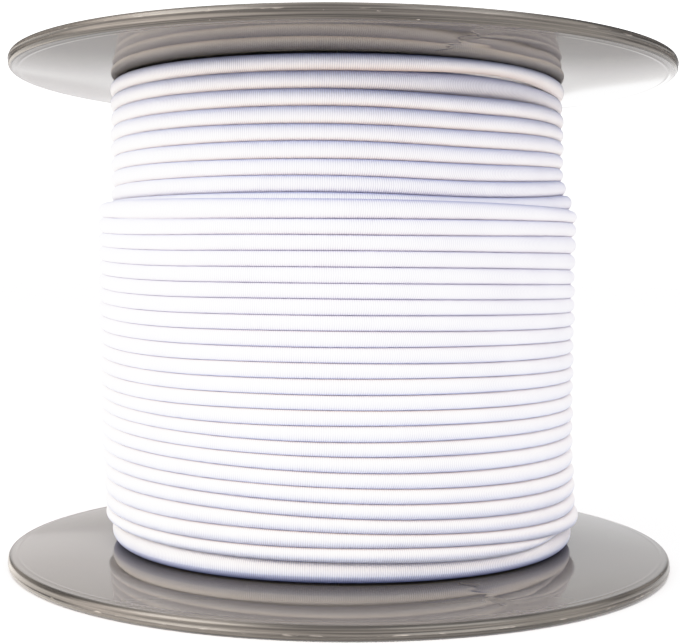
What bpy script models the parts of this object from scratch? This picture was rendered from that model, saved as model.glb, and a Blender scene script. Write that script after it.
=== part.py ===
"""Reel of round elastic cord, standing on its lower flange.

Two moulded plastic flanges hold one winding of white elastic between them.
The cord runs down the reel as a single-start helix. Eight turns of a lower
layer show at the top, then an outer layer covers it almost to the bottom,
where one more turn of the lower layer lies against the flange.

The reel's axis is Z. The origin is the middle of the face it stands on, and
its front, where the cord's turns are counted from, faces -Y.
"""

import math

import bmesh
import bpy
from mathutils import Matrix, Vector

# Driving dimensions, in metres ---------------------------------------------

CORD_DIAMETER = 0.0030          # the elastic, lying in its turns

FLANGE_RADIUS = 0.0750
REEL_HEIGHT = 0.1123            # from outer face to outer face
RIM_THICKNESS = 0.0027
RIM_ROUNDING = 0.0009           # radius of the rim's two rounded edges
TAPER = 0.00175                 # how much the flange thins from the winding to the rim
TAPER_RADIUS = 0.0500           # the inner face is flat inside this radius
FOOT_RING_WIDTH = 0.0050        # flat ring of the rim that the reel stands on
FOOT_RING_EDGE = 0.0006         # slope between the ring and the recess
RECESS_DEPTH = 0.0005           # of the outer face inside the ring

UNDER_LAYER_RADIUS = 0.0516     # over the crests of its turns
OUTER_LAYER_RADIUS = 0.0546     # at the top, where the turns beneath spread least
OUTER_LAYER_NARROWING = 0.0008  # how much less it is at the bottom
UNDER_LAYER_PITCH = 0.00337     # laid with a little room between the turns
OUTER_LAYER_PITCH = 0.00305
OUTER_LAYER_TOP = 0.0795        # height at the front where the outer layer starts
OUTER_LAYER_BOTTOM = 0.0091     # height at the front of its last groove
LAYER_CLIMB = 0.15              # part of a turn in which the cord changes layer
GROOVE_DEPTH = 0.32 * CORD_DIAMETER

SEAT_GAP = 0.0003               # between the winding and each flange

# Derived places -------------------------------------------------------------

INNER_FACE = RIM_THICKNESS + TAPER          # of a flange, above its outer face
WINDING_BOTTOM = INNER_FACE + SEAT_GAP
WINDING_TOP = REEL_HEIGHT - INNER_FACE - SEAT_GAP
OUTER_LAYER_FIRST_TURN = (WINDING_TOP - OUTER_LAYER_TOP) / UNDER_LAYER_PITCH
OUTER_LAYER_LAST_TURN = OUTER_LAYER_FIRST_TURN + (
    (OUTER_LAYER_TOP - OUTER_LAYER_BOTTOM) / OUTER_LAYER_PITCH)

# How finely the curves are faceted -------------------------------------------

FLANGE_SEGMENTS = 64
ROUNDING_STEPS = 3
TURN_SEGMENTS = 40
RIDGE = ((0.0, 0.0), (0.24, 1.0), (0.76, 1.0))  # part of a pitch, part of the depth
SPARE_TURNS = 1.4                               # laid past each flange, then cut away

# Colours: linear RGB, roughness, metallic ------------------------------------

FLANGE_FINISH = ((0.235, 0.225, 0.210), 0.16, 0.0)
CORD_FINISH = ((0.860, 0.855, 0.850), 0.70, 0.0)


def clear_objects():
    for thing in list(bpy.data.objects):
        bpy.data.objects.remove(thing, do_unlink=True)


def principled(name, finish):
    """A plain Principled material from a colour, a roughness and a metallic value."""
    colour, roughness, metallic = finish
    material = bpy.data.materials.new(name)
    material.use_nodes = True
    shader = material.node_tree.nodes["Principled BSDF"]
    shader.inputs["Base Color"].default_value = (*colour, 1.0)
    shader.inputs["Roughness"].default_value = roughness
    shader.inputs["Metallic"].default_value = metallic
    return material


def add_object(name, bm, material, sharp_angle):
    """Turn a finished bmesh into a named object with its material."""
    bmesh.ops.recalc_face_normals(bm, faces=bm.faces)
    mesh = bpy.data.meshes.new(name)
    bm.to_mesh(mesh)
    bm.free()
    mesh.materials.append(material)
    mesh.shade_smooth()
    mesh.set_sharp_from_angle(angle=sharp_angle)
    thing = bpy.data.objects.new(name, mesh)
    bpy.context.scene.collection.objects.link(thing)
    return thing


# Flanges ---------------------------------------------------------------------

def rounded_edge(centre_height, start_angle):
    """Points of a quarter round at the rim, from start_angle down a quarter turn."""
    centre_radius = FLANGE_RADIUS - RIM_ROUNDING
    points = []
    for step in range(ROUNDING_STEPS + 1):
        angle = start_angle - math.radians(90.0) * step / ROUNDING_STEPS
        points.append((centre_radius + RIM_ROUNDING * math.cos(angle),
                       centre_height + RIM_ROUNDING * math.sin(angle)))
    return points


def flange_profile():
    """Half section of the lower flange: inner face, rim, foot ring and recess."""
    ring_inside = FLANGE_RADIUS - RIM_ROUNDING - FOOT_RING_WIDTH
    return [
        (0.0, INNER_FACE),
        (TAPER_RADIUS, INNER_FACE),
        *rounded_edge(RIM_THICKNESS - RIM_ROUNDING, math.radians(90.0)),
        *rounded_edge(RIM_ROUNDING, 0.0),
        (ring_inside, 0.0),
        (ring_inside - FOOT_RING_EDGE, RECESS_DEPTH),
        (0.0, RECESS_DEPTH),
    ]


def turned_bmesh(profile):
    """Spin a half section round Z into a closed body."""
    bm = bmesh.new()
    verts = [bm.verts.new((radius, 0.0, height)) for radius, height in profile]
    edges = [bm.edges.new(pair) for pair in zip(verts, verts[1:])]
    bmesh.ops.spin(bm, geom=verts + edges, cent=(0.0, 0.0, 0.0), axis=(0.0, 0.0, 1.0),
                   angle=math.tau, steps=FLANGE_SEGMENTS, use_merge=True)
    bmesh.ops.remove_doubles(bm, verts=bm.verts, dist=1e-6)
    return bm


def flange(name, material, upside_down):
    """A flange in its place, foot down for the lower one and foot up for the upper."""
    bm = turned_bmesh(flange_profile())
    if upside_down:
        turn_over = (Matrix.Translation((0.0, 0.0, REEL_HEIGHT))
                     @ Matrix.Rotation(math.pi, 4, "X"))
        bmesh.ops.transform(bm, matrix=turn_over, verts=bm.verts)
    return add_object(name, bm, material, math.radians(35.0))


# Winding ---------------------------------------------------------------------

def groove_height(turn):
    """Height of the groove above a turn, counted in turns down from the top."""
    under = min(turn, OUTER_LAYER_FIRST_TURN)
    outer = max(turn - OUTER_LAYER_FIRST_TURN, 0.0)
    return WINDING_TOP - under * UNDER_LAYER_PITCH - outer * OUTER_LAYER_PITCH


def crest_radius(turn):
    """Outer radius of a turn: the lower layer, or the outer layer that covers it."""
    climb = min(max((turn - OUTER_LAYER_FIRST_TURN) / LAYER_CLIMB, 0.0), 1.0)
    sink = min(max((OUTER_LAYER_LAST_TURN - turn) / LAYER_CLIMB, 0.0), 1.0)
    reach = (turn - OUTER_LAYER_FIRST_TURN) / (OUTER_LAYER_LAST_TURN - OUTER_LAYER_FIRST_TURN)
    rise = OUTER_LAYER_RADIUS - OUTER_LAYER_NARROWING * reach - UNDER_LAYER_RADIUS
    return UNDER_LAYER_RADIUS + rise * min(climb, sink)


def helix_point(turn, across, lift):
    """A point of the wound surface, part way across a turn's ridge."""
    angle = math.tau * turn
    radius = crest_radius(turn) - GROOVE_DEPTH * (1.0 - lift)
    return Vector((radius * math.sin(angle), -radius * math.cos(angle),
                   groove_height(turn + across)))


def winding_bmesh():
    """Lay the ridges down one helix, then cut and close it flat at both flanges."""
    last_turn = OUTER_LAYER_LAST_TURN + (
        OUTER_LAYER_BOTTOM - WINDING_BOTTOM) / OUTER_LAYER_PITCH
    steps = round((last_turn + 2.0 * SPARE_TURNS) * TURN_SEGMENTS)
    bm = bmesh.new()
    ribs = []
    for step in range(steps + 1):
        turn = step / TURN_SEGMENTS - SPARE_TURNS
        ribs.append([bm.verts.new(helix_point(turn, *ridge)) for ridge in RIDGE])
    for step in range(steps - TURN_SEGMENTS):
        here = ribs[step] + [ribs[step + TURN_SEGMENTS][0]]
        ahead = ribs[step + 1] + [ribs[step + 1 + TURN_SEGMENTS][0]]
        for lane in range(len(RIDGE)):
            bm.faces.new((here[lane], ahead[lane], ahead[lane + 1], here[lane + 1]))
    for height, outward in ((WINDING_TOP, 1.0), (WINDING_BOTTOM, -1.0)):
        everything = bm.verts[:] + bm.edges[:] + bm.faces[:]
        bmesh.ops.bisect_plane(bm, geom=everything, dist=1e-6, clear_outer=True,
                               plane_co=(0.0, 0.0, height), plane_no=(0.0, 0.0, outward))
    loose = [vert for vert in bm.verts if not vert.link_faces]
    bmesh.ops.delete(bm, geom=loose, context="VERTS")
    rims = [edge for edge in bm.edges if edge.is_boundary]
    caps = bmesh.ops.holes_fill(bm, edges=rims, sides=0)["faces"]
    bmesh.ops.poke(bm, faces=caps)
    return bm


def build():
    clear_objects()
    flange("flange_lower", principled("grey moulded plastic, lower", FLANGE_FINISH), False)
    flange("flange_upper", principled("grey moulded plastic, upper", FLANGE_FINISH), True)
    add_object("cord_winding", winding_bmesh(), principled("white elastic cord", CORD_FINISH),
               math.radians(60.0))


build()
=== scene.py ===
# %% [markdown]
# # A reel of round elastic cord
#
# The real object is a spool from a haberdashery: white elastic, a rubber core in
# a tightly knitted cover, wound in close turns between two glossy grey flanges.
# The first cell loads the construction model. It gives the outer sizes, and the
# finished pieces take the place of its plain solids.

import math

import bmesh
import bpy
import numpy as np
from mathutils import Matrix, Vector


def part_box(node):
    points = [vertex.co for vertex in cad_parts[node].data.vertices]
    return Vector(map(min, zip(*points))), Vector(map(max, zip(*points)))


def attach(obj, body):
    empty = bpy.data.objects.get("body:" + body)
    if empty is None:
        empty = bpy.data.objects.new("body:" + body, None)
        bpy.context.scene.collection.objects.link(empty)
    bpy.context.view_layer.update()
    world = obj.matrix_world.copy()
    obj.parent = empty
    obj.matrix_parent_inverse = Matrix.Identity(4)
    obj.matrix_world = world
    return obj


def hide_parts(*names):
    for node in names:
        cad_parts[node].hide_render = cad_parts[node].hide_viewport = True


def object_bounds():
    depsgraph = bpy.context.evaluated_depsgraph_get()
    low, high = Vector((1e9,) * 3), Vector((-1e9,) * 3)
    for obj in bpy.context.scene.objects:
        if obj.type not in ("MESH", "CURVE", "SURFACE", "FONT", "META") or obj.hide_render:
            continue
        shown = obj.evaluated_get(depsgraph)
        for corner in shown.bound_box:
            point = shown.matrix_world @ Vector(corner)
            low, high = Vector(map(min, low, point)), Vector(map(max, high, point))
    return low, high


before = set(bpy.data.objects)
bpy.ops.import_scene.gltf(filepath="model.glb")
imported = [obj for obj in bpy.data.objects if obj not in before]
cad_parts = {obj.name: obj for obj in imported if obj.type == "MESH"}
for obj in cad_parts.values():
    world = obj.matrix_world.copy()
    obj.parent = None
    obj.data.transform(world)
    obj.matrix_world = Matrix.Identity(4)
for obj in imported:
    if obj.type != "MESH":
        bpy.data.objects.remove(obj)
CAD_LOW, CAD_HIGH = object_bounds()

MM = 0.001
TURN = 360.0                                  # degrees
FLANGE_RADIUS = CAD_HIGH.x
REEL_HEIGHT = CAD_HIGH.z
LOWER_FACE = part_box("flange_lower")[1].z      # inner face of the lower flange
UPPER_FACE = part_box("flange_upper")[0].z
print(f"reel {REEL_HEIGHT / MM:.1f} mm tall, flanges {2 * FLANGE_RADIUS / MM:.0f} mm across, "
      f"winding from {LOWER_FACE / MM:.2f} to {UPPER_FACE / MM:.2f} mm")

# %% [markdown]
# ## The camera comes first
#
# Every judgement of shape and colour is made through the camera, so it is set
# before anything is modelled. The picture was taken from close by, just above
# the middle of the reel: the upper flange shows its underside and the lower one
# its top. The camera is tipped down a little, and the picture leans by half a
# degree. Both turns are matrices here, because their order matters.

# %% Camera
CAMERA_DISTANCE = 303.2 * MM
CAMERA_HEIGHT = 65.1 * MM
CAMERA_SIDE = -0.2 * MM
CAMERA_TIP = 2.1              # degrees down
CAMERA_LEAN = 0.48            # degrees, which lowers the right side of the picture
LENS = 69.2                   # on a 36 mm sensor


def add_object(name, data):
    """Put a mesh, curve, lamp or camera into the scene as an object."""
    thing = bpy.data.objects.new(name, data)
    bpy.context.scene.collection.objects.link(thing)
    return thing


camera_data = bpy.data.cameras.new("camera")
camera_data.lens = LENS
camera_data.sensor_width = 36.0
camera_data.clip_start = 0.01
camera = add_object("camera", camera_data)
camera.matrix_world = (
    Matrix.Translation((CAMERA_SIDE, -CAMERA_DISTANCE, CAMERA_HEIGHT))
    @ Matrix.Rotation(math.radians(90.0 - CAMERA_TIP), 4, "X")
    @ Matrix.Rotation(math.radians(CAMERA_LEAN), 4, "Z"))
bpy.context.scene.camera = camera
print(f"camera {CAMERA_DISTANCE / MM:.0f} mm in front of the axis, {LENS} mm lens")

# %% [markdown]
# ## A white studio
#
# The picture is high-key: the cord is exposed so brightly that it nearly burns
# out, and only grooves and plastic stay dark. The Standard view is used with a
# curve that rolls off softly towards white, as a camera's film does. Light up to
# 1.4 times paper white still shows some shape that way.

# %% View and highlights
BRIGHTEST = 1.4
ROLL_OFF = ((0.35, 0.35), (0.70, 0.69), (0.90, 0.855), (1.05, 0.935), (1.20, 0.978))

view = bpy.context.scene.view_settings
view.view_transform = "Standard"
view.use_curve_mapping = True
view.curve_mapping.white_level = (BRIGHTEST,) * 3
tone = view.curve_mapping.curves[3]           # the curve for all three channels
for light, shown in ROLL_OFF:
    tone.points.new(light / BRIGHTEST, shown)
view.curve_mapping.update()
print("view:", view.view_transform, "with", len(tone.points), "curve points")

# %% [markdown]
# The studio and both finishes are trees of nodes. Helpers keep that short: each
# makes one node, wires it up and returns its output, so that nodes can be written
# inside one another.

# %% Node helpers
def set_inputs(tree, node, values):
    """Give a node's inputs their values, or wire them to other nodes' outputs."""
    for label, value in values.items():
        if isinstance(value, bpy.types.NodeSocket):
            tree.links.new(value, node.inputs[label])
        else:
            node.inputs[label].default_value = value


def add_node(tree, kind, inputs):
    """A new node with its inputs set."""
    node = tree.nodes.new("ShaderNode" + kind)
    set_inputs(tree, node, inputs)
    return node


def math_node(tree, operation, first, second=0.0, clamp=False):
    """A sum or other function of two values or outputs."""
    node = add_node(tree, "Math", {0: first, 1: second})
    node.operation = operation
    node.use_clamp = clamp
    return node.outputs[0]


def ramp(tree, value, start, end):
    """A mask that goes from 0 to 1 as a value goes from start to end."""
    inputs = {"Value": value, "From Min": start, "From Max": end}
    return add_node(tree, "MapRange", inputs).outputs["Result"]


def mix_colour(tree, share, first, second, blend="MIX"):
    """Blend two colours by a mask."""
    node = tree.nodes.new("ShaderNodeMix")
    node.data_type = "RGBA"
    node.blend_type = blend
    first, second = ((*colour, 1.0) if isinstance(colour, tuple) else colour
                     for colour in (first, second))
    set_inputs(tree, node, {"Factor": share, "A": first, "B": second})
    return node.outputs["Result"]


def split_vector(tree, vector):
    """The three values of a vector."""
    return add_node(tree, "SeparateXYZ", {0: vector}).outputs


def new_material(name):
    """A material, with its node tree and its Principled shader."""
    material = bpy.data.materials.new(name)
    material.use_nodes = True
    return material, material.node_tree, material.node_tree.nodes["Principled BSDF"]


print("node helpers:", ", ".join(helper.__name__ for helper in (math_node, ramp, mix_colour)))

# %% [markdown]
# The surround is a dome, faintly blue at the horizon and bright overhead, so that
# shaded sides turn lavender. Behind the reel the horizon is brighter and has no
# blue, because that light reaches the winding's two edges, which the picture shows
# pale. The camera sees plain white.

# %% Surround
HORIZON_LIGHT = (0.15, 0.18, 0.42)
LIGHT_BEHIND = (0.80, 0.79, 0.80)     # at the horizon behind the reel
BEHIND = (0.45, 0.95)                 # where that light starts and where it is full
OVERHEAD_LIGHT = (4.10, 4.05, 3.95)
OVERHEAD_POWER = 4.0                  # how closely the bright part gathers there
HORIZON_TO_TOP = (0.0, 1.0)

world = bpy.data.worlds.new("white studio")
world.use_nodes = True
dome = world.node_tree
direction = split_vector(dome, dome.nodes.new("ShaderNodeTexCoord").outputs["Generated"])
rightward, backward, upward = (direction[axis] for axis in "XYZ")


def graded(along, span, first, last, power=1.0):
    """A background that goes from one colour to another over a span of directions."""
    share = math_node(dome, "POWER", ramp(dome, along, *span), power)
    colour = mix_colour(dome, share, first, last)
    return add_node(dome, "Background", {"Color": colour}).outputs[0]


def choose(mask, otherwise, chosen):
    """One background where the mask is 0 and another where it is 1."""
    return add_node(dome, "MixShader", {0: mask, 1: otherwise, 2: chosen}).outputs[0]


daylight = choose(
    ramp(dome, backward, *BEHIND),
    graded(upward, HORIZON_TO_TOP, HORIZON_LIGHT, OVERHEAD_LIGHT, OVERHEAD_POWER),
    graded(upward, HORIZON_TO_TOP, LIGHT_BEHIND, OVERHEAD_LIGHT, OVERHEAD_POWER))
print("surround: overhead", round(OVERHEAD_LIGHT[1] / HORIZON_LIGHT[1]), "times the horizon")

# %% [markdown]
# What the glossy plastic mirrors is set apart from that light. From below upwards,
# it is the sheet, near and then far, the foot of the backdrop, and the backdrop.
# Past the backdrop's ends the room is dark, and at the front the rims mirror two
# soft boxes.

# %% What the plastic mirrors
NEAR_SHEET, MIDDLE_SHEET = (0.84, 0.84, 0.85), (1.52, 1.50, 1.51)
SHEET_HEIGHTS = (-0.24, -0.13)        # heights are those of the mirrored direction
MIRRORED_BANDS = (
    # from height to height, then the colours at the left and at the right
    (-0.130, -0.108, (1.16, 1.13, 1.14), (2.50, 2.50, 2.50)),    # far sheet
    (-0.003, 0.000, (0.93, 0.90, 0.89), (1.02, 1.02, 1.03)),     # foot of the backdrop
)
BACKDROP_SLOPE = 0.58                 # its lower edge rises to the right
BACKDROP_START = (0.293, 0.300)       # height of that edge in the middle
BACKDROP = (1.27, 1.23, 1.22), (0.94, 0.94, 0.95)
LEFT_TO_RIGHT = (-0.2, 0.2)

mirrored = graded(upward, SHEET_HEIGHTS, NEAR_SHEET, MIDDLE_SHEET)
for low, high, left, right in MIRRORED_BANDS:
    mirrored = choose(ramp(dome, upward, low, high), mirrored,
                      graded(rightward, LEFT_TO_RIGHT, left, right))
slope = math_node(dome, "MULTIPLY", rightward, BACKDROP_SLOPE)
mirrored = choose(ramp(dome, math_node(dome, "SUBTRACT", upward, slope), *BACKDROP_START),
                  mirrored, graded(rightward, LEFT_TO_RIGHT, *BACKDROP))
print("mirrored behind the reel:", len(MIRRORED_BANDS) + 2, "bands")

# %% What the rims mirror
LEFT_END, RIGHT_END = (2.0, 1.87, 1.72), (1.1, 1.07, 1.04)       # of the sheet
DARK_ROOM = (0.12, 0.12, 0.12)
PAST_BACKDROP = (0.36, 0.50)          # to either side
SHEET_LEVEL = (-0.05, 0.05)           # where the sheet ends and what stands on it starts
BETWEEN_BOXES = (0.78, 0.755, 0.73)
SOFT_BOXES = (5.4, 4.75, 4.2), (3.2, 2.95, 2.6)                  # the left and the right one
BOXES_IN_SHEET = (2.4, 2.15, 1.95), (1.5, 1.4, 1.27)
LEFT_BOX_SPAN, RIGHT_BOX_SPAN = (-0.15, -0.92), (0.50, 0.95)
IN_FRONT = (0.20, -0.05)


def left_or_right(left, right):
    """One background at the left and another at the right."""
    return choose(ramp(dome, rightward, -0.01, 0.01), left, right)


def two_boxes(left, right):
    """The light in front, which brightens towards a box at each side."""
    return left_or_right(graded(rightward, LEFT_BOX_SPAN, BETWEEN_BOXES, left),
                         graded(rightward, RIGHT_BOX_SPAN, BETWEEN_BOXES, right))


aside = math_node(dome, "ABSOLUTE", rightward)
mirrored = choose(ramp(dome, aside, *PAST_BACKDROP), mirrored,
                  left_or_right(graded(upward, SHEET_LEVEL, LEFT_END, DARK_ROOM),
                                graded(upward, SHEET_LEVEL, RIGHT_END, DARK_ROOM)))
front = choose(ramp(dome, upward, *SHEET_LEVEL),
               two_boxes(*BOXES_IN_SHEET), two_boxes(*SOFT_BOXES))
mirrored = choose(ramp(dome, backward, *IN_FRONT), mirrored, front)
print("mirrored in front:", len(SOFT_BOXES), "soft boxes")

# %% Surround for each kind of ray
BACKDROP_LIGHT = 2.0                  # the plain white that the camera sees

light_path = dome.nodes.new("ShaderNodeLightPath")
plain_white = dome.nodes["Background"]
set_inputs(dome, plain_white, {"Color": (1.0, 1.0, 1.0, 1.0), "Strength": BACKDROP_LIGHT})
seen = choose(light_path.outputs["Is Camera Ray"],
              choose(light_path.outputs["Is Glossy Ray"], daylight, mirrored),
              plain_white.outputs[0])
dome.links.new(seen, dome.nodes["World Output"].inputs["Surface"])
bpy.context.scene.world = world
print("surround:", len(dome.nodes), "nodes")

# %% [markdown]
# Two large lamps stand at the front, the left one brighter. They are low enough
# to reach under the upper flange, and high enough to leave its first turns in
# shade. The sheet that the reel stands on ends a little way in front of it, so it
# throws light up at the turns from below and not from straight ahead. A third lamp
# washes out the grooves along the left side.

# %% Lamps and floor
LAMP_COLOUR = (1.0, 0.965, 0.89)
LAMPS = (
    # name, place and width in metres, watts, and whether the plastic mirrors it
    ("front lamp left", (-0.84, -0.66, 0.60), 0.80, 10.0, True),
    ("front lamp right", (0.66, -0.84, 0.60), 0.80, 6.6, True),
    ("side lamp left", (-1.15, 0.10, 0.30), 0.70, 4.0, False),
)
SHEET_REACH = 4.0                     # half the width of the sheet, in metres
FRONT_EDGE = 0.40                     # of the sheet, from the reel's axis
PAPER_COLOUR = (0.95, 0.93, 0.895, 1.0)

for name, place, width, watts, in_gloss in LAMPS:
    lamp_data = bpy.data.lights.new(name, "AREA")
    lamp_data.size = width
    lamp_data.energy = watts
    lamp_data.color = LAMP_COLOUR
    lamp = add_object(name, lamp_data)
    lamp.location = place
    lamp.visible_glossy = in_gloss
    aim = Vector((0.0, 0.0, REEL_HEIGHT / 2.0)) - Vector(place)
    lamp.rotation_euler = aim.to_track_quat("-Z", "Y").to_euler()

bm = bmesh.new()
bmesh.ops.create_grid(bm, x_segments=1, y_segments=1, size=SHEET_REACH,
                      matrix=Matrix.Translation((0.0, SHEET_REACH - FRONT_EDGE, 0.0)))
floor_mesh = bpy.data.meshes.new("floor")
bm.to_mesh(floor_mesh)
bm.free()
floor_paper, paper_tree, paper_shader = new_material("white paper")
set_inputs(paper_tree, paper_shader, {"Base Color": PAPER_COLOUR, "Roughness": 0.9,
                                      "Specular IOR Level": 0.1})
floor_mesh.materials.append(floor_paper)
floor = add_object("floor", floor_mesh)
floor.visible_glossy = False                  # the surround stands for it in gloss
print("studio: one floor and", len(bpy.data.lights), "soft lamps")

# %% [markdown]
# ## How the turns lie
#
# A wound cord isn't an even screw thread. Each turn lies level against the last
# one, and then steps over to the next place in a short stretch called the
# crossover. What shows is the groove between two turns, so the winding is
# described by its grooves: one function gives the height of the groove above
# the cord at every point along it. The cord then fills the room between the
# groove above it and the groove below it, one turn further on.
#
# A place along the cord is counted in turns, and its angle in degrees from the
# front towards the right. The turns run down the reel to the right.

# %% Steps and swells
def smoothstep(value, start=0.0, end=1.0):
    """Go softly from 0 to 1 as a value goes from start to end."""
    share = np.clip((value - start) / (end - start), 0.0, 1.0)
    return share * share * (3.0 - 2.0 * share)


def angle_of(turns):
    return (turns % 1.0) * TURN


def swell(angle, height, centre, spread):
    """A soft hump of a height round the reel, at a centre angle."""
    away = (angle - centre + TURN / 2.0) % TURN - TURN / 2.0
    return height * np.exp(-0.5 * (away / spread) ** 2)


def stepped_share(turns, crossovers, even_share):
    """How much of its drop to the next turn the groove has made, from 0 to 1.

    crossovers has rows of turn, crossover angle and the degrees that it takes.
    """
    rows = np.array(crossovers, dtype=float)
    centre = np.interp(turns, rows[:, 0], rows[:, 1])
    width = np.interp(turns, rows[:, 0], rows[:, 2])

    def dropped(angle):
        steps = sum(smoothstep((angle - centre - TURN * lap) / width + 0.5)
                    for lap in (-1, 0, 1))
        return even_share * angle / TURN + (1.0 - even_share) * steps

    angle = angle_of(turns)
    return dropped(angle) - dropped(0.0 * angle)


half_way = stepped_share(np.array([0.5]), ((0, 180, 90),), 0.0)[0]
print(f"half-way through its crossover a turn has made {half_way:.1f} of its step")

# %% [markdown]
# Hands and machines don't lay cord perfectly, so the grooves also wander by a few
# hundredths of a millimetre. Waves of seeded length and phase do this. They give
# the same height whenever the same place is asked for, so two turns that share a
# groove still meet.

# %% Unevenness
SEED = 7
rng = np.random.default_rng(SEED)
WAVES = [(rng.uniform(0.6, 4.5), rng.uniform(0.0, math.tau)) for _ in range(9)]


def wander(turns, size, offset):
    """Smooth unevenness along the cord, with this root mean square.

    The offset, in turns, keeps two uses of the same waves apart.
    """
    total = sum(np.sin(math.tau * rate * (turns + offset) + phase) for rate, phase in WAVES)
    return size * total * math.sqrt(2.0 / len(WAVES))


print("unevenness from", len(WAVES), "waves, seed", SEED)

# %% [markdown]
# ## The lower layer's grooves
#
# Eight turns of the lower layer show at the top. The first one lies slack under
# the flange, the next has slipped inwards at the right, and towards the outer
# layer the turns are pushed up and outwards on their right side. Their
# crossover is at the back of the reel.
#
# Each departure from an even winding is a hump with three numbers: its height,
# the angle of its middle and its spread in degrees.

# %% Grooves of the lower layer
CORD = 3.0 * MM                       # thickness of the elastic
FIRST_TURN_HEIGHT = 3.75 * MM
TOP_CLEARANCE = 0.45 * MM             # least between the first turn and the flange
TOP_CLOSER = (-0.33 * MM, 50.0, 25.0)         # where the first turn is let closer to it
UNDER_TURNS = 8.0                     # that show
UNDER_PITCH = 3.36 * MM
UNDER_CROSSOVERS = ((0, 200, 130), (9, 200, 130))
UNDER_EVEN_SHARE = 0.10
UNDER_DIP = (-0.40 * MM, 28.0, 14.0)          # of all but the first turn
UNDER_SLACK = (1.05 * MM, 41.0, 17.0)         # of the first turn alone
UNDER_LIFT = (2.7 * MM, 88.0, 22.0)           # at its full height by the last turn
LIFT_POWER = 1.5                      # how late the lift sets in
GROOVE_WANDER = 0.05 * MM


def under_level(turn):
    """Height at the front of the groove above a whole turn."""
    below_first = np.maximum(turn - 1.0, 0.0)
    return UPPER_FACE - FIRST_TURN_HEIGHT * np.clip(turn, 0.0, 1.0) - UNDER_PITCH * below_first


def under_groove(turns):
    whole = np.floor(turns)
    share = stepped_share(turns, UNDER_CROSSOVERS, UNDER_EVEN_SHARE)
    height = under_level(whole) * (1.0 - share) + under_level(whole + 1.0) * share
    angle = angle_of(turns)
    dip = swell(angle, *UNDER_DIP) * smoothstep(turns, 1.0, 2.0)
    slack = swell(angle, *UNDER_SLACK) * (1.0 - smoothstep(turns, 1.2, 1.7))
    lift = swell(angle, *UNDER_LIFT) * np.clip(turns / UNDER_TURNS, 0.0, 1.0) ** LIFT_POWER
    uneven = wander(turns, GROOVE_WANDER, 0.0)
    height = height + smoothstep(turns, 0.0, 2.0 / 3.0) * (dip + slack + lift + uneven)
    return np.minimum(height, UPPER_FACE - TOP_CLEARANCE - swell(angle, *TOP_CLOSER))


print(f"lower layer: grooves at the front from {under_level(1.0) / MM:.1f} "
      f"to {under_level(UNDER_TURNS) / MM:.1f} mm")

# %% Crest of the lower layer
UNDER_CREST = 51.6 * MM
UNDER_SUNK = (-2.2 * MM, 43.0, 20.0)          # where the second turn has slipped inwards
UNDER_PUSHED = 1.8 * MM                       # how far the last turns stand out
CREST_WANDER = 0.06 * MM


def under_crest(turns):
    """Outer radius of the lower layer's turns."""
    second_turn = smoothstep(turns, 0.9, 1.0) * (1.0 - smoothstep(turns, 1.4, 1.5))
    sunk = swell(angle_of(turns), *UNDER_SUNK) * second_turn
    pushed = UNDER_PUSHED * smoothstep(turns, 6.5, 8.4)
    return UNDER_CREST + sunk + pushed + wander(turns, CREST_WANDER, 40.0)


print(f"lower layer: crest from {under_crest(np.array([1.3]))[0] / MM:.1f} "
      f"to {under_crest(np.array([9.0]))[0] / MM:.1f} mm")

# %% [markdown]
# ## The outer layer's grooves
#
# The outer layer starts with a slack, fat turn that leaves a shadow beneath it.
# From there on the turns are drawn tight. The crossover lies at the left for
# most of the layer and moves across the front near the bottom, where the last
# turn narrows between its neighbours and dives in at the right.

# %% Grooves of the outer layer
OUTER_TOP = 79.35 * MM
FAT_TURN_HEIGHT = 3.8 * MM
OUTER_PITCH = 3.02 * MM
OUTER_SAG = 0.55 * MM                 # how far the middle grooves lie below an even pitch
SAG_POWER = 1.25                      # how far below the middle the sag is greatest
OUTER_TURNS = 22.0                    # whole turns at the front
LAST_GROOVE_DROP = 3.7 * MM
OUTER_END = OUTER_TURNS + 74.0 / TURN
OUTER_EVEN_SHARE = 0.15
OUTER_CROSSOVERS = ((0, -80, 90), (13, -75, 95), (16, -50, 120), (18, -10, 150),
                    (20, 8, 115), (21, 28, 95), (22, 50, 100))
OUTER_LIFT = (1.5 * MM, 88.0, 32.0)           # of the first few turns
START_LIFT = 1.0 * MM                 # of the hidden start, behind the fat turn
FOOT_LINE = 9.42 * MM                 # lower edge of the last outer turn at the front
FOOT_LINE_LEFT = (0.6 * MM, -85.0, 30.0)
FOOT_LINE_RIGHT = (-0.95 * MM, 36.0, 17.0)


def foot_line(angle):
    """Height of the line between the outer layer and the turn below it."""
    return FOOT_LINE + swell(angle, *FOOT_LINE_LEFT) + swell(angle, *FOOT_LINE_RIGHT)


def outer_level(turn):
    """Height at the front of the groove above a whole turn."""
    packed = np.maximum(turn - 1.0, 0.0)
    reach = np.clip(packed / (OUTER_TURNS - 1.0), 0.0, 1.0)
    sag = OUTER_SAG * np.sin(math.pi * reach ** SAG_POWER)
    even = OUTER_TOP - FAT_TURN_HEIGHT * np.clip(turn, 0.0, 1.0) - OUTER_PITCH * packed - sag
    last = np.maximum(turn - OUTER_TURNS, 0.0)
    return even - (LAST_GROOVE_DROP - OUTER_PITCH) * last


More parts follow.
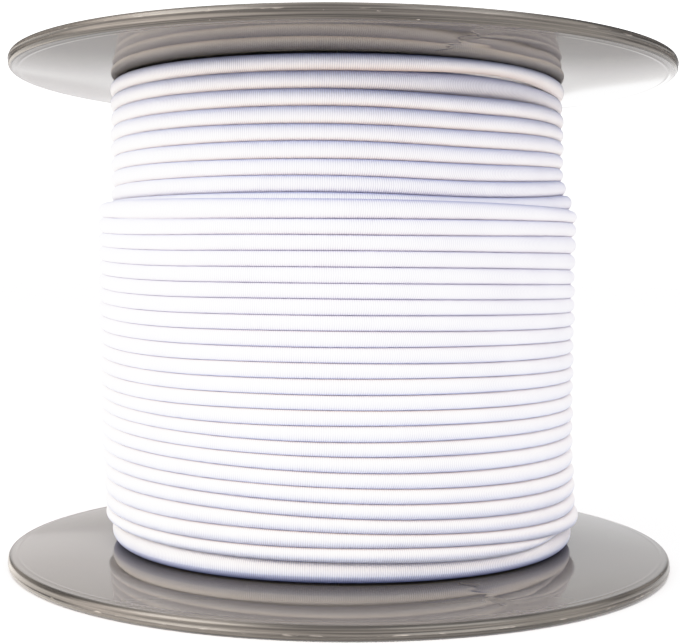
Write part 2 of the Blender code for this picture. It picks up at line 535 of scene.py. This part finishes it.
def outer_groove(turns):
    whole = np.floor(turns)
    share = stepped_share(turns, OUTER_CROSSOVERS, OUTER_EVEN_SHARE)
    height = outer_level(whole) * (1.0 - share) + outer_level(whole + 1.0) * share
    angle = angle_of(turns)
    first_turns = smoothstep(turns) * (1.0 - smoothstep(turns, 1.6, 4.6))
    lift = swell(angle, *OUTER_LIFT) * first_turns
    start = START_LIFT * smoothstep(turns, 0.0, -0.25)
    inside = smoothstep(turns, 0.5, 1.0) * smoothstep(turns, OUTER_END, OUTER_END - 0.5)
    height = height + lift + start + inside * wander(turns, GROOVE_WANDER, 80.0)
    return np.where(turns < OUTER_END, height, foot_line(angle))


print(f"outer layer: {OUTER_TURNS:.0f} turns, grooves from {OUTER_TOP / MM:.1f} "
      f"to {outer_level(OUTER_TURNS) / MM:.1f} mm at the front")

# %% Crest of the outer layer
OUTER_CREST_TOP = 54.6 * MM
OUTER_CREST_BOTTOM = 53.8 * MM
OUTER_BULGE = (0.8 * MM, 90.0, 25.0)          # of the last two turns
START_SUNK = 3.2 * MM                 # how deep the hidden start lies


def outer_crest(turns):
    """Outer radius of the outer layer's turns."""
    reach = np.clip(turns / OUTER_TURNS, 0.0, 1.0)
    bulge = swell(angle_of(turns), *OUTER_BULGE) * smoothstep(turns, 20.2, 21.2)
    sunk = START_SUNK * smoothstep(turns, -0.27, -0.53)
    return (OUTER_CREST_TOP + (OUTER_CREST_BOTTOM - OUTER_CREST_TOP) * reach
            + bulge - sunk + wander(turns, CREST_WANDER, 120.0))


print(f"outer layer: crest from {OUTER_CREST_TOP / MM:.1f} to {OUTER_CREST_BOTTOM / MM:.1f} mm")

# %% [markdown]
# ## Sweeping the cord
#
# A cord is best made as a curve with a profile swept along it: the curve holds
# the route, each point's radius holds the thickness, and Blender makes an even
# tube with a UV map. Its first axis runs along the cord and its second one round
# it, starting at the crest. The curve is turned into a mesh, so that the first
# axis can be stretched to millimetres, and the knitted ribs keep their real size.

# %% Profile of the cord
SIDES = 24                            # round the cord's section
SQUARENESS = 2.08                     # 2 is a circle, and more is squarer


def cord_profile():
    """Closed section of a cord of nominal thickness, as a flat curve."""
    data = bpy.data.curves.new("section", "CURVE")
    data.dimensions = "2D"
    spline = data.splines.new("POLY")
    spline.points.add(SIDES - 1)
    for index, point in enumerate(spline.points):
        angle = math.tau * index / SIDES
        across, along = math.cos(angle), math.sin(angle)
        reach = (abs(across) ** SQUARENESS + abs(along) ** SQUARENESS) ** (-1.0 / SQUARENESS)
        point.co = (across * reach * CORD / 2.0, along * reach * CORD / 2.0, 0.0, 1.0)
    spline.use_cyclic_u = True
    return add_object("section", data)


print("profile:", SIDES, "sides")

# %% [markdown]
# Where the turns are drawn tight they press into each other, so each is made a
# little thicker than its room. Where a turn has much less room than its own
# thickness it has dived under its neighbours, and it is drawn inwards. The whole
# winding leans: it is fuller at the left near the top and at the right at the foot.

# %% Route of the cord
PRESSED = 1.06                        # thickness for each unit of room
LEAST_ROOM = 0.25                     # in thicknesses of the cord
LEAST_INSET = 0.6                     # of the cord's middle below its crest
DIVE = 2.4 * MM                       # how far in a turn without any room lies
LEANING = ((7, -0.1), (12, 0.3), (20, 0.0), (27, -0.6), (45, -0.9), (60, -1.05),
           (80, -1.0), (95, -1.25))   # height and sideways shift, in mm


def turn_marks(first, last, per_turn=150):
    """Places along the cord, evenly spaced in turns."""
    return np.linspace(first, last, round((last - first) * per_turn) + 1)


def cord_route(name, turns, top, bottom, crest):
    """The curve of a cord that lies between two grooves, out to a crest radius."""
    room = np.maximum(top - bottom, LEAST_ROOM * CORD)
    thickness = room / CORD * PRESSED
    hidden = np.clip(1.0 - thickness, 0.0, 1.0)
    radius = crest - CORD / 2.0 * np.maximum(thickness, LEAST_INSET) - DIVE * hidden ** 2
    angle = np.radians(turns * TURN)
    middle = (top + bottom) / 2.0
    shift = np.interp(middle / MM, *np.transpose(LEANING)) * MM
    places = np.stack([shift + radius * np.sin(angle), -radius * np.cos(angle),
                       middle, np.ones_like(turns)], axis=1)
    data = bpy.data.curves.new(name, "CURVE")
    data.dimensions = "3D"
    data.twist_mode = "Z_UP"
    spline = data.splines.new("POLY")
    spline.points.add(len(turns) - 1)
    spline.points.foreach_set("co", places.astype(np.float32).ravel())
    spline.points.foreach_set("radius", thickness.astype(np.float32))
    length = float(np.linalg.norm(np.diff(places[:, :3], axis=0), axis=1).sum())
    return data, length


print("route: points every", TURN / (len(turn_marks(0.0, 1.0)) - 1), "degrees")

# %% Mesh of the cord
def count_triangles(mesh):
    return sum(len(face.vertices) - 2 for face in mesh.polygons)


def swept_cord(name, turns, top, bottom, crest, material):
    """Sweep the cord's profile along its route, as a mesh piece."""
    data, length = cord_route(name, turns, top, bottom, crest)
    section = cord_profile()
    data.bevel_mode = "OBJECT"
    data.bevel_object = section
    data.use_fill_caps = True
    route = add_object(name, data)
    depsgraph = bpy.context.evaluated_depsgraph_get()
    mesh = bpy.data.meshes.new_from_object(route.evaluated_get(depsgraph))
    bpy.data.objects.remove(route, do_unlink=True)
    bpy.data.objects.remove(section, do_unlink=True)
    uv = np.empty(2 * len(mesh.loops), np.float32)
    mesh.uv_layers[0].data.foreach_get("uv", uv)
    uv[0::2] *= length / MM
    mesh.uv_layers[0].data.foreach_set("uv", uv)
    mesh.materials.clear()
    mesh.materials.append(material)
    mesh.shade_smooth()
    mesh.name = name
    piece = add_object(name, mesh)
    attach(piece, "root")
    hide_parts("cord_winding")
    print(f"{name}: {length:.2f} m of cord, {count_triangles(mesh)} triangles")


print("sweep: the cord is", CORD / MM, "mm thick")

# %% [markdown]
# ## Shared effects
#
# Two effects are node groups: a slow mottle, which both finishes use, and fine
# lines that follow a coordinate, which are the cord's ribs.

# %% Node groups
def new_group(name, inputs, output):
    """An empty shader group, the values given to it, and its node for the result."""
    group = bpy.data.node_groups.new(name, "ShaderNodeTree")
    for label, value in inputs:
        socket = group.interface.new_socket(label, in_out="INPUT", socket_type="NodeSocketFloat")
        socket.default_value = value
    group.interface.new_socket(output, in_out="OUTPUT", socket_type="NodeSocketFloat")
    given = group.nodes.new("NodeGroupInput").outputs
    return group, given, group.nodes.new("NodeGroupOutput")


def lines_group():
    """Fine lines across a coordinate: 1 on a line and 0 between two."""
    group, given, out = new_group("fine lines", [("Along", 0.0), ("Pitch", 1.0), ("Slant", 0.0)],
                                  "Line")
    count = math_node(group, "DIVIDE", given["Along"], given["Pitch"])
    phase = math_node(group, "MULTIPLY", math_node(group, "ADD", count, given["Slant"]), math.tau)
    wave = math_node(group, "MULTIPLY", math_node(group, "SINE", phase), 0.5)
    set_inputs(group, out, {"Line": math_node(group, "ADD", wave, 0.5)})
    return group


def mottle_group():
    """Slow soft variation between 0 and 1 in object space."""
    group, given, out = new_group("slow mottle", [("Scale", 20.0), ("Detail", 2.0)], "Mottle")
    place = group.nodes.new("ShaderNodeTexCoord").outputs["Object"]
    inputs = {"Vector": place, "Scale": given["Scale"], "Detail": given["Detail"]}
    set_inputs(group, out, {"Mottle": add_node(group, "TexNoise", inputs).outputs["Fac"]})
    return group


LINES = lines_group()
MOTTLE = mottle_group()
print("node groups:", LINES.name, "and", MOTTLE.name)

# %% Helpers for the finishes
def use_group(tree, group, **values):
    """Place a group in a material and set its inputs to values or sockets."""
    node = tree.nodes.new("ShaderNodeGroup")
    node.node_tree = group
    set_inputs(tree, node, values)
    return node.outputs[0]


def object_place(tree):
    """The place in object space, as three values in metres."""
    return split_vector(tree, tree.nodes.new("ShaderNodeTexCoord").outputs["Object"])


def bump(tree, height, strength, distance):
    """The surface's normals, tilted as if it were raised where a height says so."""
    inputs = {"Height": height, "Strength": strength, "Distance": distance}
    return add_node(tree, "Bump", inputs).outputs["Normal"]


print("materials so far:", len(bpy.data.materials))

# %% [markdown]
# ## The elastic's finish
#
# The cover is matt white yarn, knitted round the rubber. Its ribs run across the
# cord, 0.43 mm apart, and lean one way above the crest and the other way below
# it. The shade in the grooves is painted into the yarn's colour: painted shade
# darkens the cover towards its upper and lower sides, where two turns press
# together, though less at the left and right of the reel, where side light gets
# in. A painted tint makes each turn warm on its lit side, towards the middle of
# the reel's height, and blue on its shaded side, as shade and the fringes of a
# camera lens colour a groove, and the tint grows towards both ends. Where the grey
# plastic mirrors the cord, a painted reflection tint makes it warmer, and lighter
# in the lower flange. A cloth sheen lifts the edges.

# %% Painted tints of the elastic, for lit sides, shaded sides and grooves
# Painted tint: the yarn's colour on a turn's lit side and on its shaded side
LIT_SIDE_YARN, SHADED_SIDE_YARN = (0.90, 0.855, 0.79), (0.77, 0.82, 0.94)
YARN_SHADE = (0.53, 0.515, 0.55)
# Painted shade of the grooves: brown on a turn's lit side, navy on its shaded side
PAINTED_SHADE_WARM, PAINTED_SHADE_COOL = (0.36, 0.225, 0.160), (0.02, 0.08, 0.42)
TINT_MIDDLE = 65.0 * MM               # the height without any tint
TINT_GROWTH = 0.026 / MM              # for each millimetre away from it


def lit_or_shaded_side(tree, height, upwards):
    """1 on the warm, lit side of a turn, 0 on the blue, shaded side, and 0.5 where there is no
    painted tint.
    """
    away = math_node(tree, "SUBTRACT", height, TINT_MIDDLE)
    tint = math_node(tree, "MULTIPLY", math_node(tree, "MULTIPLY", away, upwards), TINT_GROWTH)
    return math_node(tree, "SUBTRACT", 0.5, tint, clamp=True)


print("tint: full", round(0.5 / TINT_GROWTH / MM), "mm above and below the middle")

# %% Painted shade of the grooves
DARKEST = 0.95
GROOVE_SHARPNESS = 6.8                # how closely the dark keeps to a turn's sides
BROADER_ABOVE = 0.11 / MM             # for each millimetre above the middle
BROADER_BELOW = 0.04 / MM
UNDER_FOOT = (7.6 * MM, 6.3 * MM)     # the underside of the foot turn starts, and is full
UNDER_FOOT_BROADER = 6.0
SLACK_TURN = (9.8 * MM, 9.3 * MM)     # the foot turn starts, and is full
SLACK_TURN_BROADER = -3.0
DARK_FACING = (0.14, -0.99)           # direction in which the grooves are darkest
DARK_RADIUS = 54.0 * MM
DARK_POWER = 1.5
DARK_SHARE, DARK_LEAST = 0.82, 0.05


def dark_round_reel(tree, place):
    """How strong the painted shade of the grooves is round the reel: least at its two
    sides, where the light of the surround reaches into them."""
    facing = math_node(
        tree, "ADD", math_node(tree, "MULTIPLY", place["X"], DARK_FACING[0] / DARK_RADIUS),
        math_node(tree, "MULTIPLY", place["Y"], DARK_FACING[1] / DARK_RADIUS))
    share = math_node(tree, "POWER", math_node(tree, "ABSOLUTE", facing), DARK_POWER)
    return math_node(tree, "ADD", math_node(tree, "MULTIPLY", share, DARK_SHARE), DARK_LEAST,
                     clamp=True)


def painted_shade_mask(tree, place, upwards):
    """How much painted shade darkens the sides of a turn, standing in for the shade in
    the grooves. It grows broader towards the top, a little towards the foot, and
    most at the foot's underside, which is painted dark all round the reel. On the
    slack turn at the foot it keeps closer to the sides."""
    away = math_node(tree, "SUBTRACT", place["Z"], TINT_MIDDLE)
    above = math_node(tree, "MULTIPLY", math_node(tree, "MAXIMUM", away, 0.0), BROADER_ABOVE)
    below = math_node(tree, "MULTIPLY", math_node(tree, "MINIMUM", away, 0.0), -BROADER_BELOW)
    under_foot = ramp(tree, place["Z"], *UNDER_FOOT)
    slack_turn = ramp(tree, place["Z"], *SLACK_TURN)
    foot = math_node(tree, "ADD", math_node(tree, "MULTIPLY", under_foot, UNDER_FOOT_BROADER),
                     math_node(tree, "MULTIPLY", slack_turn, SLACK_TURN_BROADER))
    broader = math_node(tree, "ADD", math_node(tree, "ADD", above, below), foot)
    sharpness = math_node(tree, "SUBTRACT", GROOVE_SHARPNESS, broader)
    side = math_node(tree, "POWER", math_node(tree, "ABSOLUTE", upwards), sharpness)
    share = math_node(tree, "MAXIMUM", dark_round_reel(tree, place), under_foot)
    return math_node(tree, "MULTIPLY", side, math_node(tree, "MULTIPLY", share, DARKEST))


print("grooves: darkest", round(math.degrees(math.atan2(DARK_FACING[0], -DARK_FACING[1]))),
      "degrees right of the front")

# %% Material of the elastic
RIB_PITCH = 0.43                      # in millimetres, the unit of the UV map
RIB_LEAN = 0.35                       # in rib pitches, from the crest to each side
RIB_HEIGHT = 0.06 * MM
WORN_RIBS = 0.75                      # how far the mottle takes their shade away
# Painted reflection tint: the cord's colour where the plastic mirrors it, in the lower and in the
# upper flange
PAINTED_REFLECTION_LOW, PAINTED_REFLECTION_HIGH = (1.11, 1.05, 0.95), (0.96, 0.90, 0.80)
LOW_TO_HIGH = (35.0 * MM, 77.0 * MM)


def elastic_material():
    material, tree, shader = new_material("white elastic")
    cord = split_vector(tree, tree.nodes.new("ShaderNodeUVMap").outputs[0])
    place = object_place(tree)
    upwards = math_node(tree, "SINE", math_node(tree, "MULTIPLY", cord["Y"], math.tau))
    slant = math_node(tree, "MULTIPLY", math_node(tree, "ABSOLUTE", upwards), RIB_LEAN)
    rib = use_group(tree, LINES, Along=cord["X"], Pitch=RIB_PITCH, Slant=slant)
    # painted tint: warm on the lit side of a turn, blue on its shaded side
    side = lit_or_shaded_side(tree, place["Z"], upwards)
    yarn = mix_colour(tree, side, SHADED_SIDE_YARN, LIT_SIDE_YARN)
    mottle = use_group(tree, MOTTLE, Scale=90.0, Detail=3.0)
    worn = math_node(tree, "MULTIPLY", mottle, WORN_RIBS)
    ribbed = mix_colour(tree, worn, mix_colour(tree, rib, YARN_SHADE, yarn), yarn)
    # painted shade of the grooves, mixed in towards each turn's sides
    painted_shade_colour = mix_colour(tree, side, PAINTED_SHADE_COOL, PAINTED_SHADE_WARM)
    colour = mix_colour(tree, painted_shade_mask(tree, place, upwards), ribbed, painted_shade_colour)
    # painted reflection: glossy rays see the cord in this tint
    painted_reflection_tint = mix_colour(tree, ramp(tree, place["Z"], *LOW_TO_HIGH),
                               PAINTED_REFLECTION_LOW, PAINTED_REFLECTION_HIGH)
    in_mirror = tree.nodes.new("ShaderNodeLightPath").outputs["Is Glossy Ray"]
    set_inputs(tree, shader, {
        "Base Color": mix_colour(tree, in_mirror, colour, painted_reflection_tint, blend="MULTIPLY"),
        "Normal": bump(tree, rib, 0.6, RIB_HEIGHT), "Roughness": 0.85,
        "Specular IOR Level": 0.2, "Sheen Weight": 0.15, "Sheen Roughness": 0.4})
    return material


ELASTIC = elastic_material()
print("finish:", ELASTIC.name)

# %% [markdown]
# ## Laying the two layers
#
# The lower layer runs on a little way under the outer one, and the outer layer's
# first half turn starts behind the fat turn that shows, so neither end is seen.

# %% Lower and outer layer
LAYER_START = -0.55                   # of both layers, in turns
UNDER_END = 9.6

turns = turn_marks(LAYER_START, UNDER_END)
swept_cord("under_layer_cord", turns, under_groove(turns), under_groove(turns + 1.0),
           under_crest(turns), ELASTIC)

turns = turn_marks(LAYER_START, OUTER_END + 0.02)
swept_cord("outer_layer_cord", turns, outer_groove(turns), outer_groove(turns + 1.0),
           outer_crest(turns), ELASTIC)

# %% [markdown]
# ## The turn at the foot
#
# At the bottom, one slack turn lies against the flange, fatter than the others
# because nothing stretches it. It isn't quite round: it stands further out half-way
# to each side, and furthest at the right. Its two ends tuck in behind the others
# at the back.

# %% Foot turn
FOOT_CREST = 52.6 * MM
FOOT_LEAN = (0.1 * MM, 0.6 * MM)      # how much further out its crest is at the right
FOOT_CORNERS = 0.4 * MM               # and half-way to each side
FOOT_CLEARANCE = 0.50 * MM            # above the flange
FOOT_END = 0.56                       # turns from the front to each end
TUCK_START = 0.42
TUCK_DOWN, TUCK_IN = 2.2 * MM, 2.5 * MM

turns = turn_marks(-FOOT_END, FOOT_END)
angle = angle_of(turns)
tuck = smoothstep(np.abs(turns), TUCK_START, FOOT_END)
foot_top = foot_line(angle) - TUCK_DOWN * tuck
foot_bottom = np.full_like(turns, LOWER_FACE + FOOT_CLEARANCE)
to_right = np.sin(np.radians(angle))
corners = FOOT_CORNERS * np.sin(np.radians(2.0 * angle)) ** 2
foot_crest = (FOOT_CREST + FOOT_LEAN[0] * to_right + FOOT_LEAN[1] * to_right ** 3
              + corners - TUCK_IN * tuck)
swept_cord("foot_turn_cord", turns, foot_top, foot_bottom, foot_crest, ELASTIC)

# %% [markdown]
# ## The layers inside
#
# Cord fills the reel, so a glance between two slack turns meets more cord. One
# plain layer stands for all those inside, with fewer points because no more than
# a glimpse of it is ever seen.

# %% Inner layer
INNER_CREST = 48.3 * MM
INNER_TURNS = 33

turns = turn_marks(0.0, INNER_TURNS, per_turn=60)
inner_pitch = (UPPER_FACE - LOWER_FACE) / (INNER_TURNS + 1.0)
inner_top = UPPER_FACE - inner_pitch * turns
swept_cord("inner_layer_cord", turns, inner_top, inner_top - inner_pitch,
           np.full_like(turns, INNER_CREST), ELASTIC)

# %% [markdown]
# ## The flanges
#
# Each flange is a moulded disc, so half its section is drawn once and spun round
# the axis. The inner face curves gently away from the winding, which is why the
# reflected turns look squeezed towards the rim. Near the rim it has a fine bead,
# and the rim shows the thin ridge that the two halves of a mould leave between
# them. The outer face stands on a ring round a shallow recess. Extra points close
# to its bends keep the smooth shading off the flat parts.

# %% Flange section
RIM_THICKNESS = 3.0 * MM
RIM_ROUNDING = 0.9 * MM
TAPER_START = 52.0 * MM
TAPER_POWER = 1.6
BEAD_RADIUS = 72.9 * MM
BEAD_WIDTH = 0.25 * MM
BEAD_HEIGHT = 0.05 * MM
PARTING_HEIGHT = 1.15 * MM            # of the ridge, above the outer face
PARTING_RIDGE = 0.09 * MM             # how far it stands out
PARTING_FOOT, PARTING_CREST = 0.16 * MM, 0.04 * MM    # half its thickness
RECESS_DEPTH = 0.5 * MM
RECESS_BEND = 0.02 * MM               # height of the points beside its two bends
RIM_RADIUS = FLANGE_RADIUS - PARTING_RIDGE
FLAT_END = RIM_RADIUS - RIM_ROUNDING
RING_INSIDE = FLAT_END - 5.0 * MM     # the ring that the reel stands on is 5 mm wide
RECESS_RADIUS = RING_INSIDE - 0.6 * MM
PLAIN_RADII = (0.0, 20.0 * MM, 40.0 * MM)             # where both faces are flat
TAPER_RADII = np.linspace(TAPER_START, 72.0 * MM, 36)
BEAD_RADII = np.linspace(72.2 * MM, 74.0 * MM, 10)


def inner_face_height(radius):
    """Height of the lower flange's inner face."""
    reach = max(radius - TAPER_START, 0.0) / (FLAT_END - TAPER_START)
    bead = BEAD_HEIGHT * math.exp(-((radius - BEAD_RADIUS) / BEAD_WIDTH) ** 2)
    return LOWER_FACE - (LOWER_FACE - RIM_THICKNESS) * reach ** TAPER_POWER + bead


def quarter_round(centre_height, start, steps=8):
    """Points of a quarter round at the rim, from a start angle down a quarter turn."""
    angles = [math.radians(start - 90.0 * step / steps) for step in range(steps + 1)]
    return [(FLAT_END + RIM_ROUNDING * math.cos(angle),
             centre_height + RIM_ROUNDING * math.sin(angle)) for angle in angles]


def flange_section():
    """Half section of the lower flange, from the middle of its inner face outwards."""
    inner_face = [(radius, inner_face_height(radius))
                  for radius in (*PLAIN_RADII, *TAPER_RADII, *BEAD_RADII)]
    parting = [(RIM_RADIUS, PARTING_HEIGHT + PARTING_FOOT),
               (FLANGE_RADIUS, PARTING_HEIGHT + PARTING_CREST),
               (FLANGE_RADIUS, PARTING_HEIGHT - PARTING_CREST),
               (RIM_RADIUS, PARTING_HEIGHT - PARTING_FOOT)]
    outer_face = [(FLAT_END - 0.3 * MM, 0.0), (RING_INSIDE + 0.25 * MM, 0.0),
                  (RING_INSIDE, RECESS_BEND), (RECESS_RADIUS, RECESS_DEPTH - RECESS_BEND),
                  *((radius, RECESS_DEPTH) for radius in (
                      RECESS_RADIUS - 0.25 * MM, RECESS_RADIUS - 2.0 * MM,
                      *reversed(PLAIN_RADII)))]
    return (inner_face + quarter_round(RIM_THICKNESS - RIM_ROUNDING, 90.0)
            + parting + quarter_round(RIM_ROUNDING, 0.0) + outer_face)


print("flange section:", len(flange_section()), "points")

# %% [markdown]
# ## Where the plastic met in the mould
#
# Molten plastic flows round the mould's core and meets itself in a weld line. It
# shows as a radial crease, front right on both flanges, that wanders a little,
# with a shallow ripple that dies away on one side. It is only a fraction of a
# millimetre deep, but it makes the mirrored turns jump, so it is modelled.

# %% Weld ripple
RIPPLE_DEPTH = 0.28 * MM
RIPPLE_LENGTH = 19.0 * MM             # along the radius
RIPPLE_FADE = 9.0 * MM                # to the right of the crease
RIPPLE_MARGIN = 2.0 * MM              # over which it dies away before the rim
CREASE_WIDTH = 0.4 * MM
ZIGZAG = 1.0 * MM                     # how far the crease wanders to each side
ZIGZAG_LENGTH = 5.5 * MM


def weld_ripple(x, y, weld_angle):
    """How far the inner face is sunk near the weld line."""
    radius = math.hypot(x, y)
    if radius <= TAPER_START:
        return 0.0
    away = (math.degrees(math.atan2(x, -y)) - weld_angle + TURN / 2.0) % TURN - TURN / 2.0
    along = radius * math.radians(away) - ZIGZAG * math.sin(math.tau * radius / ZIGZAG_LENGTH)
    fade = math.exp(-along / RIPPLE_FADE) if along > 0.0 else math.exp(along / CREASE_WIDTH)
    reach = (radius - TAPER_START) / RIPPLE_LENGTH
    settle = min((FLAT_END - radius) / RIPPLE_MARGIN, 1.0)
    ripple = RIPPLE_DEPTH * math.sin(math.tau * reach) * fade
    return ripple * max(settle, 0.0)


print(f"weld ripple: {weld_ripple(0.0, -58.0 * MM, 0.0) / MM:.3f} mm at 58 mm from the axis")

# %% [markdown]
# ## The plastic's finish
#
# The plastic is warm grey and highly polished, with a slow waviness that bends
# what it mirrors. The rim was turned smooth after moulding, which left it darker,
# with fine streaks round it. Handling has put a few nicks there, and has scuffed
# the ridge. The outer faces, out of sight in the picture, are left matt.

# %% Masks of the flanges
RIM_MASK = (73.9 * MM, 74.2 * MM)     # from the axis
OUTER_FACE_DEPTHS = (0.9 * MM, 0.6 * MM)      # below each end of the reel
RIDGE_SPREAD = 0.25 * MM              # above and below the ridge's middle


def flange_place(tree):
    """The place in object space, the distance from the axis, and a mask of the rim."""
    place = object_place(tree)
    squares = [math_node(tree, "POWER", place[axis], 2.0) for axis in "XY"]
    radius = math_node(tree, "SQRT", math_node(tree, "ADD", *squares))
    return place, radius, ramp(tree, radius, *RIM_MASK)


def depth_in_reel(tree, place):
    """How far a place lies inwards from the nearer end of the reel."""
    from_middle = math_node(tree, "ABSOLUTE", math_node(
        tree, "SUBTRACT", place["Z"], REEL_HEIGHT / 2.0))
    return math_node(tree, "SUBTRACT", REEL_HEIGHT / 2.0, from_middle)


def ridge_mask(tree, depth):
    """1 on the ridge that the mould left round each rim."""
    away = math_node(tree, "ABSOLUTE", math_node(tree, "SUBTRACT", depth, PARTING_HEIGHT))
    return ramp(tree, away, RIDGE_SPREAD, 0.0)


def outer_face_mask(tree, depth, rim):
    """1 on the flanges' outer faces, inside the rim."""
    return math_node(tree, "MULTIPLY", ramp(tree, depth, *OUTER_FACE_DEPTHS),
                     math_node(tree, "SUBTRACT", 1.0, rim))


def rim_marks(tree, place, radius, along, across, least, gain):
    """Marks that run round the rim. Along and across say how many fit in a metre."""
    upright = math_node(tree, "ADD", place["Z"], radius)
    stretched = add_node(tree, "CombineXYZ", {
        "X": math_node(tree, "MULTIPLY", place["X"], along),
        "Y": math_node(tree, "MULTIPLY", place["Y"], along),
        "Z": math_node(tree, "MULTIPLY", upright, across)}).outputs[0]
    noise = add_node(tree, "TexNoise", {"Vector": stretched, "Scale": 1.0, "Detail": 2.0})
    above = math_node(tree, "SUBTRACT", noise.outputs["Fac"], least)
    return math_node(tree, "MULTIPLY", above, gain, clamp=True)


print(f"rim: from {RIM_MASK[0] / MM:.1f} mm to {FLANGE_RADIUS / MM:.1f} mm from the axis")

# %% Material of the flanges
PLASTIC_INSIDE = (0.102, 0.0905, 0.077)
PLASTIC_DARK, PLASTIC_LIGHT = (0.040, 0.036, 0.031), (0.130, 0.116, 0.098)    # of the rim
NICK_COLOUR = (0.50, 0.45, 0.38)
# Marks for each metre along and across, then the noise that starts one, and its gain
STREAKS = (25.0, 2600.0, 0.36, 3.6)
NICKS = (500.0, 1500.0, 0.74, 12.0)
SCUFFS = (260.0, 2000.0, 0.58, 4.0)
POLISHED = 0.045                      # roughness, and what the others add to it
RIM_ROUGHER, MOTTLE_ROUGHER, OUTER_FACE_ROUGHER = 0.14, 0.05, 0.45
WAVE_HEIGHT, STREAK_HEIGHT = 6.0, 0.5         # in units of the bump's distance
BUMP_DISTANCE = 0.03 * MM


def plastic_colour(tree, place, radius, rim, depth, streaks):
    """Grey inside, and darker with its marks on the rim."""
    turned = mix_colour(tree, streaks, PLASTIC_DARK, PLASTIC_LIGHT)
    base = mix_colour(tree, rim, PLASTIC_INSIDE, turned)
    nicks = rim_marks(tree, place, radius, *NICKS)
    scuffs = math_node(tree, "MULTIPLY", ridge_mask(tree, depth),
                       rim_marks(tree, place, radius, *SCUFFS))
    marks = math_node(tree, "MULTIPLY", math_node(tree, "MAXIMUM", nicks, scuffs), rim)
    return mix_colour(tree, marks, base, NICK_COLOUR)


def plastic_roughness(tree, rim, depth):
    """Polished, with a faint mottle, less so on the rim and matt on the outer faces."""
    mottle = use_group(tree, MOTTLE, Scale=35.0, Detail=2.0)
    rough = POLISHED
    for mask, more in ((rim, RIM_ROUGHER), (mottle, MOTTLE_ROUGHER),
                       (outer_face_mask(tree, depth, rim), OUTER_FACE_ROUGHER)):
        rough = math_node(tree, "ADD", math_node(tree, "MULTIPLY", mask, more), rough)
    return rough


def plastic_material():
    material, tree, shader = new_material("grey moulded plastic")
    place, radius, rim = flange_place(tree)
    depth = depth_in_reel(tree, place)
    streaks = rim_marks(tree, place, radius, *STREAKS)
    wave = math_node(tree, "MULTIPLY", use_group(tree, MOTTLE, Scale=30.0, Detail=0.0),
                     WAVE_HEIGHT)
    grain = math_node(tree, "MULTIPLY", math_node(tree, "MULTIPLY", streaks, rim), STREAK_HEIGHT)
    set_inputs(tree, shader, {
        "Base Color": plastic_colour(tree, place, radius, rim, depth, streaks),
        "Roughness": plastic_roughness(tree, rim, depth), "IOR": 1.56,
        "Normal": bump(tree, math_node(tree, "ADD", wave, grain), 1.0, BUMP_DISTANCE)})
    return material


PLASTIC = plastic_material()
print("finish:", PLASTIC.name)

# %% [markdown]
# ## Spinning the flanges
#
# A full spin with its ends merged makes a closed disc. The upper flange is the
# same disc turned over. The ripple is pressed in while the disc lies foot down, at
# the place that the turn brings to the front right.

# %% Flanges
SPIN_STEPS = 720
INNER_FACE_ABOVE = RIM_THICKNESS - 0.1 * MM
WELD_LOWER, WELD_UPPER = 27.2, 20.5   # angle of the crease, in degrees
SHARP_ANGLE = 40.0


def flange_bmesh(upside_down, weld_angle):
    """A flange in its place, with its weld ripple."""
    bm = bmesh.new()
    verts = [bm.verts.new((radius, 0.0, height)) for radius, height in flange_section()]
    edges = [bm.edges.new(pair) for pair in zip(verts, verts[1:])]
    bmesh.ops.spin(bm, geom=verts + edges, cent=(0.0, 0.0, 0.0), axis=(0.0, 0.0, 1.0),
                   angle=math.tau, steps=SPIN_STEPS, use_merge=True)
    bmesh.ops.remove_doubles(bm, verts=bm.verts, dist=1e-6)
    flip = -1.0 if upside_down else 1.0
    for vert in bm.verts:
        if vert.co.z > INNER_FACE_ABOVE:
            vert.co.z -= weld_ripple(vert.co.x, flip * vert.co.y, weld_angle)
    if upside_down:
        turn_over = (Matrix.Translation((0.0, 0.0, REEL_HEIGHT))
                     @ Matrix.Rotation(math.pi, 4, "X"))
        bmesh.ops.transform(bm, matrix=turn_over, verts=bm.verts)
    bmesh.ops.recalc_face_normals(bm, faces=bm.faces)
    return bm


def flange_piece(name, node, upside_down, weld_angle):
    bm = flange_bmesh(upside_down, weld_angle)
    mesh = bpy.data.meshes.new(name)
    bm.to_mesh(mesh)
    bm.free()
    mesh.materials.append(PLASTIC)
    mesh.shade_smooth()
    mesh.set_sharp_from_angle(angle=math.radians(SHARP_ANGLE))
    piece = add_object(name, mesh)
    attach(piece, "root")
    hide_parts(node)
    print(f"{name}: {count_triangles(mesh)} triangles")


flange_piece("lower_flange", "flange_lower", False, WELD_LOWER)
flange_piece("upper_flange", "flange_upper", True, WELD_UPPER)
